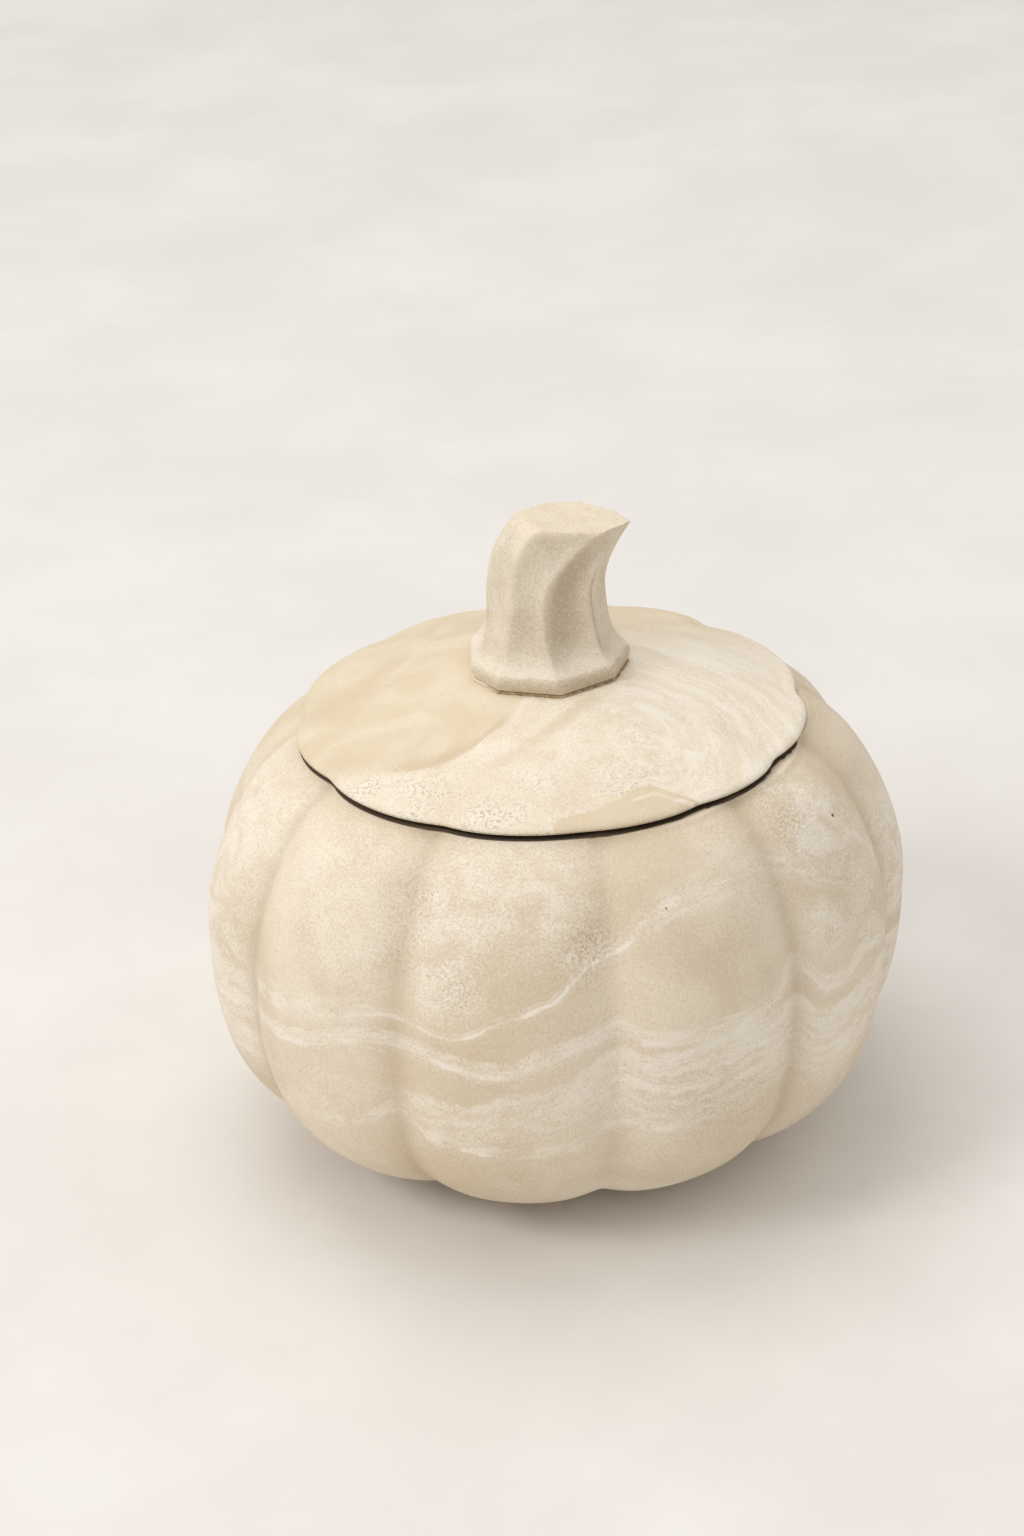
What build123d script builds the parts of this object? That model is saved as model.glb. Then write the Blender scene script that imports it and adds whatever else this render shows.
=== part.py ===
"""Lidded pumpkin jar in cast ceramic stone: a ribbed hollow body, a lift-off domed lid and a fluted stem.

Millimetres, +Z up. The origin is the centre of the resting face, under the felt disc; -Y is the front.
Angles round the jar are measured from the front, positive towards +X.
"""

from build123d import *

import os
from math import asin, cos, radians, sin

os.makedirs("parts", exist_ok=True)

# ---------------------------------------------------------------- driving dimensions
# Ribbed jar body
body_radius = 85.0          # crest of the widest rib
upper_height = 71.4         # half-height of the profile above its widest level
lower_height = 62.6         # half-height of the profile below it
upper_power = 1.84          # superellipse powers: 2 is a circle, more is boxier
lower_power = 2.91
felt_thickness = 1.5
base_drop = 60.0            # flat base, below the widest level
rim_rise = 43.4             # flat rim, above the widest level
widest_z = felt_thickness + base_drop
lean_x = 0.034              # the cast body leans a little: sideways offset per millimetre of height
lean_y = 0.012
groove_angles = [-62.1, -27.8, 8.8, 42.1, 75.2, 107.0, 138.8, 170.6, 202.4, 234.2, 266.0]
groove_depth = 4.2          # at the widest level
groove_gain = 0.5           # the grooves are this much deeper at the flat base
groove_fade = 1.6           # and this much shallower at the rim
shoulder_start = 33.0       # above this rise the body rounds over towards the rim
shoulder_draw = 4.0         # and has drawn in by this much at the rim
rim_edge = 1.0              # rounding of the rim's outer edge

# Cavity and mouth
wall = 7.0
floor_thickness = 8.0
ledge_thickness = 5.2       # seat round the mouth
mouth_radius = 51.0
inner_groove_share = 0.8    # the grooves show this much inside

# Lid
lid_centre_x = 0.4
lid_radius = 61.0           # crest of a scallop
lid_lift = 1.3              # shadow gap between the lid's edge and the rim
shoulder_inset = 2.6        # the rounded edge runs this far in from the crest
shoulder_rise = 2.3         # and this far up from the lower edge
lid_top_z = 120.2           # flat that the stem is bonded on
lid_flat_radius = 20.6
dome_fullness = 0.25        # 0 is a plain cone, more is a rounder dome
lid_valley_depth = 1.6
lid_valleys = [-95.0, -61.0, -25.0, 6.0, 34.0, 61.0, 99.0, 138.0, 163.0, 189.0, 222.0]
lid_wall = 7.4
seat_radius = 54.0
flange_clearance = 1.0
flange_radius = mouth_radius - flange_clearance
flange_wall = 4.5
flange_inner = flange_radius - flange_wall
flange_depth = 10.0
rim_z = widest_z + rim_rise
lid_edge_z = rim_z + lid_lift
shoulder_radius = lid_radius - shoulder_inset
shoulder_z = lid_edge_z + shoulder_rise
underside_top = lid_top_z - lid_wall
underside_edge = rim_z + 2.0

# Stem, its spigot and the adhesive bed
adhesive_thickness = 0.5
stem_base_z = lid_top_z + adhesive_thickness
stem_height = 36.6
flange_band = 3.9           # upright band round the stem's foot
foot_ridges = [-67.8, -38.5, 8.5, 54.5, 86.5, 127.6, 168.8, 210.0, 251.0]
shaft_ridges = [-73.0, -34.0, -1.0, 47.5, 86.0, 128.0, 168.0, 208.0, 250.0]
shaft_start = 11.0          # the ridges have turned to their places on the shaft by this height
bend_start = 19.0           # from here up each ridge bends over to its corner of the cut top
cut_corners = [             # plan places of the ridges at the cut top; the fifth is the pointed tip
    (-5.8, -1.5), (-0.9, -9.5), (14.9, -8.7), (19.8, -3.6), (21.9, -0.4),
    (18.6, 4.6), (10.2, 9.5), (1.2, 9.6), (-4.4, 4.6),
]
cut_tilt = 5.0              # the cut top falls towards the tip
spigot_radius = 6.0
spigot_length = 4.0
spigot_clearance = 0.25
bead_margin = 0.5           # how far the adhesive squeezes out past the stem's foot

felt_radius = 33.0


# ---------------------------------------------------------------- section formulas
def on_plan(radius, angle):
    """A point of a horizontal section, from its radius and its angle from the front."""
    return (radius * sin(radians(angle)), -radius * cos(radians(angle)))


def profile_radius(rise, offset=0.0):
    """Crest radius at a height above the widest level; offset shrinks the whole profile by a wall."""
    height, power = (upper_height, upper_power) if rise > 0 else (lower_height, lower_power)
    sine = min((abs(rise) / (height - offset)) ** (power / 2), 1.0)
    rounding_over = max(rise - shoulder_start, 0.0) / (rim_rise - shoulder_start)
    return (body_radius - offset) * cos(asin(sine)) ** (2 / power) - shoulder_draw * rounding_over**2


def groove_drop(rise):
    """Radial depth of a groove at a height above the widest level."""
    if rise < 0:
        return groove_depth + groove_gain * (rise / base_drop) ** 2
    return groove_depth - groove_fade * (rise / rim_rise) ** 2


def ribbed_outline(crest_radius, valley_radius, valleys):
    """One arc per rib, from valley to valley over its crest."""
    for start, end in zip(valleys, valleys[1:] + [valleys[0] + 360]):
        ThreePointArc(
            on_plan(valley_radius, start),
            on_plan(crest_radius, (start + end) / 2),
            on_plan(valley_radius, end),
        )


def body_plane(rise):
    """Horizontal plane of the leaning body at a height above its widest level."""
    return Plane((lean_x * rise, lean_y * rise, widest_z + rise))


def body_outline(rise, offset=0.0, groove_share=1.0, edge=0.0):
    """Section of the body, or of its cavity; edge draws it in where the rim is rounded."""
    crest = profile_radius(rise, offset) - edge
    ribbed_outline(crest, crest - groove_share * groove_drop(rise), groove_angles)


def dome_height(radius):
    """Height of the lid's top surface, from the rounded shoulder to the flat under the stem."""
    run = (radius - lid_flat_radius) / (shoulder_radius - lid_flat_radius)
    fall = (1 - dome_fullness) * run + dome_fullness * run**2
    return lid_top_z - fall * (lid_top_z - shoulder_z)


def lid_outline(radius):
    """Scalloped section of the lid; the scallops fade from its edge towards the stem."""
    ribbed_outline(radius, radius - lid_valley_depth * (radius / lid_radius) ** 3, lid_valleys)


# ---------------------------------------------------------------- jar body
outer_rises = [-base_drop, -57, -51, -40, -24, -6, 12, 26, 34, 39, rim_rise - rim_edge, rim_rise]
cavity_floor = floor_thickness - base_drop
cavity_top = rim_rise - ledge_thickness
inner_rises = [cavity_floor, -48, -39, -24, -6, 12, 26, cavity_top]
lid_plane = Plane((lid_centre_x, 0, 0))

with BuildPart() as jar_body:
    for rise in outer_rises:
        with BuildSketch(body_plane(rise)):
            with BuildLine():
                body_outline(rise, edge=rim_edge if rise == rim_rise else 0)
            make_face()
    loft()
    for rise in inner_rises:
        with BuildSketch(body_plane(rise)):
            with BuildLine():
                body_outline(rise, offset=wall, groove_share=inner_groove_share)
            make_face()
    loft(mode=Mode.SUBTRACT)
    with BuildSketch(lid_plane.offset(rim_z + 1)):
        Circle(mouth_radius)
    extrude(amount=-(ledge_thickness + 2), mode=Mode.SUBTRACT)
jar_body.part.label = "jar_body"
export_step(jar_body.part, "parts/jar_body.step")

# ---------------------------------------------------------------- felt disc under the base
with BuildPart() as felt_base:
    Cylinder(felt_radius, felt_thickness, align=(Align.CENTER, Align.CENTER, Align.MIN))
felt_base.part.label = "felt_base"
export_step(felt_base.part, "parts/felt_base.step")

# ---------------------------------------------------------------- lid
lid_section = Plane((lid_centre_x, 0, 0), x_dir=(1, 0, 0), z_dir=(0, -1, 0))
lid_turning_axis = Axis((lid_centre_x, 0, 0), (0, 0, 1))

# Crest radius and height of each scalloped section: the rounded edge, then the dome
edge_levels = [
    (lid_radius - 0.5, lid_edge_z),
    (lid_radius, lid_edge_z + 0.5),
    (lid_radius - 0.2, lid_edge_z + 1.1),
    (lid_radius - 1.0, lid_edge_z + 1.8),
    (shoulder_radius, shoulder_z),
]
dome_levels = [(r, dome_height(r)) for r in (shoulder_radius, 51.0, 43.0, 35.0, 28.0, lid_flat_radius)]

with BuildPart() as lid:
    for radius, height in edge_levels:
        with BuildSketch(lid_plane.offset(height)):
            with BuildLine():
                lid_outline(radius)
            make_face()
    loft(ruled=True)
    for radius, height in dome_levels:
        with BuildSketch(lid_plane.offset(height)):
            with BuildLine():
                lid_outline(radius)
            make_face()
    loft()
    # Turned seat and locating flange, then the domed hollow
    with BuildSketch(lid_section):
        with BuildLine():
            Polyline(
                (0, lid_edge_z + 1),
                (seat_radius + lid_lift, lid_edge_z + 1),
                (seat_radius + lid_lift, lid_edge_z),
                (seat_radius, rim_z),
                (flange_radius, rim_z),
                (flange_radius, rim_z - flange_depth),
                (0, rim_z - flange_depth),
                close=True,
            )
        make_face()
    revolve(axis=lid_turning_axis)
    with BuildSketch(lid_section):
        with BuildLine():
            Polyline(
                (0, underside_top),
                (0, rim_z - flange_depth - 1),
                (flange_inner, rim_z - flange_depth - 1),
                (flange_inner, underside_edge),
            )
            TangentArc((0, underside_top), (flange_inner, underside_edge), tangent=(1, 0))
        make_face()
    revolve(axis=lid_turning_axis, mode=Mode.SUBTRACT)
    with BuildSketch(lid_plane.offset(lid_top_z)):
        Circle(spigot_radius + spigot_clearance)
    extrude(amount=-(spigot_length + spigot_clearance), mode=Mode.SUBTRACT)
lid.part.label = "lid"
export_step(lid.part, "parts/lid.step")


# ---------------------------------------------------------------- stem handle
# height above the foot, centre x, half width, half depth, flute depth share
stem_levels = [
    (0.0, -0.4, 19.2, 19.7, 0.004),
    (flange_band, -0.4, 19.2, 19.7, 0.004),
    (5.0, -0.2, 17.9, 18.2, 0.020),
    (7.0, 0.2, 16.7, 16.5, 0.045),
    (shaft_start, 0.4, 15.6, 15.0, 0.070),
    (bend_start, 0.2, 14.9, 13.5, 0.085),
    (25.0, 0.2, 14.7, 12.7, 0.080),
    (31.0, 0.2, 14.6, 11.4, 0.055),
    (stem_height, 0.2, 14.4, 10.4, 0.015),
]


def bend_share(height):
    """How far the stem has bent over at a height: 0 on the shaft, 1 at the cut top."""
    return (max(height - bend_start, 0.0) / (stem_height - bend_start)) ** 2


def stem_corners(height, centre_x, half_x, half_y, margin=0.0):
    """Plan places of the nine ridges: round the shaft, then bending over to the cut top."""
    turned = min(height / shaft_start, 1.0)
    bent = bend_share(height)
    corners = []
    for foot_angle, shaft_angle, cut_corner in zip(foot_ridges, shaft_ridges, cut_corners):
        x, y = on_plan(1.0, foot_angle + (shaft_angle - foot_angle) * turned)
        x, y = centre_x + x * (half_x + margin), y * (half_y + margin)
        corners.append((x + (cut_corner[0] - x) * bent, y + (cut_corner[1] - y) * bent))
    return corners


def stem_outline(level, margin=0.0):
    """Nine shallow concave flutes between ridges."""
    height, centre_x, half_x, half_y, flute = level
    corners = stem_corners(height, centre_x, half_x, half_y, margin)
    hub_x = sum(x for x, y in corners) / len(corners)
    for start, end in zip(corners, corners[1:] + corners[:1]):
        middle_x, middle_y = (start[0] + end[0]) / 2, (start[1] + end[1]) / 2
        ThreePointArc(start, (middle_x - flute * (middle_x - hub_x), middle_y * (1 - flute)), end)


def stem_plane(height):
    """Plane of a stem section; it tilts over, about the section's middle, towards the cut top."""
    bent = bend_share(height)
    tilt = cut_tilt * bent
    hub_x = bent * sum(x for x, y in cut_corners) / len(cut_corners)
    level_z = stem_base_z + height + hub_x * sin(radians(tilt))
    return Plane(Location((lid_centre_x, 0, level_z), (0, tilt, 0)))


with BuildPart() as stem_handle:
    for levels in (stem_levels[:2], stem_levels[1:]):
        for level in levels:
            with BuildSketch(stem_plane(level[0])):
                with BuildLine():
                    stem_outline(level)
                make_face()
        loft()
    with BuildSketch(lid_plane.offset(stem_base_z)):
        Circle(spigot_radius)
    extrude(amount=-spigot_length)
stem_handle.part.label = "stem_handle"
export_step(stem_handle.part, "parts/stem_handle.step")

# ---------------------------------------------------------------- adhesive bed under the stem
with BuildPart() as stem_adhesive:
    with BuildSketch(lid_plane.offset(lid_top_z)):
        with BuildLine():
            stem_outline(stem_levels[0], margin=bead_margin)
        make_face()
    extrude(amount=adhesive_thickness)
    with BuildSketch(lid_plane.offset(lid_top_z)):
        Circle(spigot_radius + spigot_clearance)
    extrude(amount=adhesive_thickness, mode=Mode.SUBTRACT)
stem_adhesive.part.label = "stem_adhesive"
export_step(stem_adhesive.part, "parts/stem_adhesive.step")
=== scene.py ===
"""Looks of the lidded pumpkin jar: hand-cast marbled ceramic stone on a pale studio floor.

Metres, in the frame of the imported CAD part: +Z up, -Y towards the front. Angles round the jar are in
degrees from the front, positive towards +X. Lengths that read best in millimetres are multiplied by MM.
"""

from math import cos, pi, radians, sin

import bpy
import numpy as np
from mathutils import Matrix, Vector, noise


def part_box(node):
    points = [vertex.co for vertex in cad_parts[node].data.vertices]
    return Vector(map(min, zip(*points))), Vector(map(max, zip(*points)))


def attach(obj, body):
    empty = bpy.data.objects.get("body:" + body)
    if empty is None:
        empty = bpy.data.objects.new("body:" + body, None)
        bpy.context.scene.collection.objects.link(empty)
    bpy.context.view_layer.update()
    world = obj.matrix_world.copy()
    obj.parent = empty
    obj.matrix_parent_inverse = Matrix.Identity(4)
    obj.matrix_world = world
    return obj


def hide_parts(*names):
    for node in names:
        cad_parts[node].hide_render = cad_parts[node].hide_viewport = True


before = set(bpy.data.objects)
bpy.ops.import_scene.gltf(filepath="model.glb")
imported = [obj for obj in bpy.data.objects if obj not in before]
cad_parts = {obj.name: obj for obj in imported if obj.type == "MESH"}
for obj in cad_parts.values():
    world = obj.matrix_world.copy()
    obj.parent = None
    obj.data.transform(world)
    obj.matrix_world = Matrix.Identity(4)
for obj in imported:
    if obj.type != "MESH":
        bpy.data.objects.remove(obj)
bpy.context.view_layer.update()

MM = 0.001

# ---- places taken from the CAD frame
jar_low, jar_high = (Vector(corner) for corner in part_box("jar_body"))
lid_low, lid_high = (Vector(corner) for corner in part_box("lid"))
glue_low, glue_high = (Vector(corner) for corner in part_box("stem_adhesive"))
felt_low, felt_high = (Vector(corner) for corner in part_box("felt_base"))

base_z = jar_low.z
rim_z = jar_high.z
lid_top_z = lid_high.z
lid_flange_z = lid_low.z
foot_z = glue_high.z  # underside of the stem
lid_centre = Vector((0.4 * MM, 0, 0))
COLUMNS = 440  # points round the jar and round the lid

# ---- shape of the jar, in millimetres
WIDEST_RISE = 60.0  # widest level above the base
RIM_RISE = (rim_z - base_z) / MM - WIDEST_RISE
CREST_RADIUS = 85.0
UPPER_HEIGHT, UPPER_POWER = 71.4, 1.84
LOWER_HEIGHT, LOWER_POWER = 62.6, 2.91
LEAN = (0.034, 0.012)  # sideways offset per millimetre of height
GROOVES = [-62.1, -27.8, 8.8, 42.1, 75.2, 107.0, 138.8, 170.6, 202.4, 234.2, 266.0]
GROOVE_DEPTH = 4.2  # at the widest level
GROOVE_GAIN = 0.5  # extra depth at the base
GROOVE_FADE = 1.6  # lost depth at the rim
SHOULDER_START, SHOULDER_DRAW = 33.0, 4.0
WALL = 7.0
FLOOR_THICKNESS = 8.0
MOUTH_RADIUS = 51.0
LEDGE_THICKNESS = 5.2
RIM_ROUNDING = 1.0
INNER_GROOVE_SHARE = 0.8
FOOT_ROUNDING = 1.2

# ---- shape of the lid, in millimetres
LID_RADIUS = 60.5
LID_LIFT = 1.3
LID_VALLEYS = [-94.0, -61.0, -25.0, 6.0, 34.0, 61.0, 95.0, 137.0, 163.0, 189.0, 222.0]
LID_VALLEY_DEPTHS = [2.1, 1.5, 1.2, 0.5, 1.1, 1.7, 2.1, 2.1, 1.0, 1.0, 1.5]
LID_REACH = [0.3, 0.0, 0.0, 0.0, 0.0, 0.5, 1.3, 1.1, 0.4, 0.4, 0.6]
LID_FLAT_RADIUS = 20.4
SHOULDER_INSET, SHOULDER_RISE = 2.4, 2.3
DOME_FULLNESS = 0.25
SEAT_RADIUS = 54.0
FLANGE_OUTER, FLANGE_INNER = 50.0, 45.5
LID_WALL = 7.4
LID_FOLDS = [
    # x, y, length, width, direction in degrees, height
    (-22.0, -27.0, 13.0, 4.0, 38.0, -0.55),
    (-15.0, -33.0, 14.0, 4.0, 38.0, 0.40),
    (19.0, -27.0, 9.0, 6.0, -20.0, 0.45),
    (-48.0, 12.0, 15.0, 4.0, 20.0, -0.35),
    (44.0, 22.0, 14.0, 4.0, -35.0, -0.35),
]
JOINT_WIDTH, JOINT_FRONT_GAIN = 1.22, 0.22  # painted shadow strip under the lid's edge, wider in front
JOINT_REACH, JOINT_FADE = 4.6, 3.2  # how far it runs in under the lid, and fades over
JOINT_DROP = 4.0  # no painted shadow further below the edge

# ---- shape of the stem, in millimetres
STEM_HEIGHT = 36.6
STEM_LEVELS = [
    # height, centre x, centre y, half width, half depth, flute depth, softness of ridges
    (0.0, -0.4, 0.0, 19.1, 19.75, 0.000, 1.0),
    (3.9, -0.4, 0.0, 19.1, 19.7, 0.002, 1.0),
    (4.7, -0.2, 0.0, 18.2, 18.6, 0.014, 1.3),
    (6.5, 0.2, 0.0, 17.0, 16.8, 0.048, 2.0),
    (11.0, 0.4, 0.0, 15.6, 15.0, 0.095, 3.4),
    (18.0, 0.2, 0.0, 14.9, 13.6, 0.115, 4.2),
    (25.0, 2.0, 0.2, 14.7, 12.7, 0.105, 4.2),
    (31.0, 5.2, 0.4, 14.6, 11.4, 0.070, 3.4),
    (36.6, 7.4, 0.6, 14.4, 10.4, 0.010, 2.2),
]
RIDGE_ANGLES = [
    (0.0, -67.8, -38.5, 8.5, 54.5, 86.5, 127.6, 168.8, 210.0, 251.0),
    (5.0, -69.0, -37.5, 4.5, 50.0, 86.5, 127.6, 168.8, 210.0, 251.0),
    (11.0, -71.0, -36.5, 0.0, 48.5, 86.0, 128.0, 168.0, 209.0, 250.0),
    (19.0, -73.0, -33.5, -1.0, 47.0, 86.0, 128.0, 168.0, 208.0, 250.0),
    (37.0, -75.0, -34.0, 2.0, 48.0, 86.0, 128.0, 168.0, 208.0, 250.0),
]
TOP_CORNERS = [
    (-5.8, -1.5), (-0.9, -9.5), (14.9, -8.7), (19.8, -3.6), (21.9, -0.4),
    (18.6, 4.6), (10.2, 9.5), (1.2, 9.6), (-4.4, 4.6),
]
TURN_STARTS = 19.0  # from here up each ridge bends over to its top corner
TURN_POWERS = [2.4, 2.6, 1.9, 1.75, 1.7, 1.8, 2.0, 2.2, 2.3]
FLUTE_SHARES = [0.5, 0.7, 2.1, 0.5, 1.0, 1.0, 1.0, 1.0, 1.0]
# painted shade in each flute: none on the lit left, strongest in the front-right flute turned away from the
# light
FLUTE_SHADES = [0.0, 0.45, 1.0, 0.1, 0.5, 0.5, 0.5, 0.5, 0.3]
FACET_STEPS = 30  # points along each flute
SEAM_FLUTE, SEAM_SHARE = 3, 0.10  # a thin casting seam runs up beside one ridge
SEAM_DEPTH = 0.35
TOP_SLOPE = 0.085  # the cut top falls towards the tip
TOP_ROUNDING = 1.8
TOP_INSET, LEFT_INSET = 0.5, 2.6  # how far the rounding reaches in, and further on the left
BEAD_MARGIN = 0.32  # the adhesive swells past the foot by this


# ---- geometry helpers
def flow(table, position):
    """Smooth values between the rows of a table whose first column is the position."""
    rows = np.array(table, float)
    knots, values = rows[:, 0], rows[:, 1:]
    slopes = np.gradient(values, knots, axis=0)
    i = int(np.clip(np.searchsorted(knots, position, side="right") - 1, 0, len(knots) - 2))
    width = knots[i + 1] - knots[i]
    t = np.clip((position - knots[i]) / width, 0, 1)
    blend = t * t * (3 - 2 * t)
    ease_out, ease_in = t * (1 - t) ** 2 * width, t * t * (t - 1) * width
    return values[i] * (1 - blend) + values[i + 1] * blend + slopes[i] * ease_out + slopes[i + 1] * ease_in


def rounded_line(corners, spacing):
    """Points along a line of (radius, height, rounding) corners, with each corner rounded."""
    points = [np.array(corners[0][:2], float)]
    for before, corner, after in zip(corners, corners[1:], corners[2:]):
        here, rounding = np.array(corner[:2], float), corner[2]
        to_before = np.array(before[:2], float) - here
        to_after = np.array(after[:2], float) - here
        to_before /= np.linalg.norm(to_before)
        to_after /= np.linalg.norm(to_after)
        steps = 5 if rounding else 0
        for step in range(steps + 1):
            t = step / max(steps, 1)
            points.append(here + rounding * (to_before * (1 - t) ** 2 + to_after * t**2))
    points.append(np.array(corners[-1][:2], float))
    line = [points[0]]
    for point in points[1:]:
        gap = np.linalg.norm(point - line[-1])
        pieces = max(int(round(gap / spacing)), 1)
        start = line[-1]
        line += [start + (point - start) * (k + 1) / pieces for k in range(pieces) if gap > 1e-6]
    return line


def valley_share(angles, valleys, softness, power=1.95):
    """0 on each lobe's crest and 1 in the valleys between lobes, with softly rounded valleys."""
    edges = np.array(valleys + [valleys[0] + 360])
    wrapped = np.mod(angles - edges[0], 360) + edges[0]
    lobe = np.clip(np.searchsorted(edges, wrapped, side="right") - 1, 0, len(valleys) - 1)
    start, end = edges[lobe], edges[lobe + 1]
    to_valley = 1 - np.abs(2 * (wrapped - start) / (end - start) - 1)
    soft = np.sqrt(to_valley**2 + softness**2) - softness * (1 - to_valley)
    return (1 - np.clip(soft, 0, 1)) ** power


def between_lobes(angles, valleys, values):
    """A value given at each valley, blended smoothly round the circle."""
    closed = np.array(valleys + [valleys[0] + 360])
    wrapped = np.mod(angles - closed[0], 360) + closed[0]
    return np.interp(wrapped, closed, values + [values[0]])


def lumps(points, size, seed):
    """Smooth noise, about -1 to 1, at points in millimetres."""
    offset = Vector((seed * 17.3, seed * 5.1, seed * 9.7))
    return np.array([noise.noise(Vector(p) / size + offset) for p in points])


def skin(name, rings, body, stands_for, slot, **marks):
    """Closed mesh from rings of points in millimetres; the first and last ring close on their centres.

    Each mark, 0 to 1 at every point of every ring, is kept as an attribute for the material.
    """
    rings = np.array(rings)
    rows, columns = rings.shape[:2]
    points = np.vstack([rings.reshape(-1, 3), rings[0].mean(axis=0), rings[-1].mean(axis=0)]) * MM
    faces = []
    for row in range(rows - 1):
        for column in range(columns):
            following = (column + 1) % columns
            low, high = row * columns, (row + 1) * columns
            faces.append((low + column, low + following, high + following, high + column))
    first, last = rows * columns, rows * columns + 1
    top = (rows - 1) * columns
    for column in range(columns):
        following = (column + 1) % columns
        faces.append((first, following, column))
        faces.append((last, top + column, top + following))
    mesh = bpy.data.meshes.new(name)
    mesh.from_pydata(points.tolist(), [], faces)
    mesh.update()
    mesh.shade_smooth()
    for mark, values in marks.items():
        attribute = mesh.attributes.new(mark, "FLOAT", "POINT")
        attribute.data.foreach_set("value", np.append(np.ravel(values), [0, 0]))
    piece = bpy.data.objects.new(name, mesh)
    bpy.context.scene.collection.objects.link(piece)
    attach(piece, body)
    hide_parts(stands_for)
    return piece


def on_plan(radius, angles):
    """Plan coordinates of points at these radii and angles."""
    return radius * np.sin(np.radians(angles)), -radius * np.cos(np.radians(angles))


# ---- jar body
def crest_radius(rise, wall=0.0):
    """Crest radius at a height above the widest level."""
    height, power = (UPPER_HEIGHT, UPPER_POWER) if rise > 0 else (LOWER_HEIGHT, LOWER_POWER)
    sine = min((abs(rise) / (height - wall)) ** (power / 2), 1.0)
    rounding_over = max(rise - SHOULDER_START, 0) / (RIM_RISE - SHOULDER_START)
    return (CREST_RADIUS - wall) * (1 - sine**2) ** (1 / power) - SHOULDER_DRAW * rounding_over**2


def groove_drop(rise):
    """How deep the grooves between lobes are at a height above the widest level."""
    if rise < 0:
        return GROOVE_DEPTH + GROOVE_GAIN * (rise / WIDEST_RISE) ** 2
    return GROOVE_DEPTH - GROOVE_FADE * (rise / RIM_RISE) ** 2


def wall_profile(low, high, wall, spacing):
    """(radius, rise) points up the wall, evenly spaced along it."""
    rises = np.linspace(low, high, 800)
    radii = np.array([crest_radius(rise, wall) for rise in rises])
    length = np.concatenate([[0], np.cumsum(np.hypot(np.diff(radii), np.diff(rises)))])
    even = np.linspace(0, length[-1], int(length[-1] / spacing))
    return [(np.interp(s, length, radii), np.interp(s, length, rises)) for s in even]


def joint_shadow(ring):
    """Marks the narrow strip under the lid's edge that is painted as the shadow in the gap, 0 to 1."""
    x, y = ring[:, 0] - lid_centre.x / MM, ring[:, 1]
    angle = np.arctan2(x, -y)
    inside = LID_RADIUS - lid_scallop(np.degrees(angle)) - np.hypot(x, y)
    below = rim_z / MM + LID_LIFT - ring[:, 2]
    sightline_drop = 0.87 * below - 0.5 * inside  # seen from 30 degrees above
    width = JOINT_WIDTH + JOINT_FRONT_GAIN * np.clip(np.cos(angle), 0, 1)
    shown = np.clip((width - sightline_drop) / 0.4, 0, 1) * np.clip((inside + 0.2) / 0.6, 0, 1)
    return shown * np.clip((JOINT_REACH - inside) / JOINT_FADE, 0, 1) * (below < JOINT_DROP)


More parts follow.
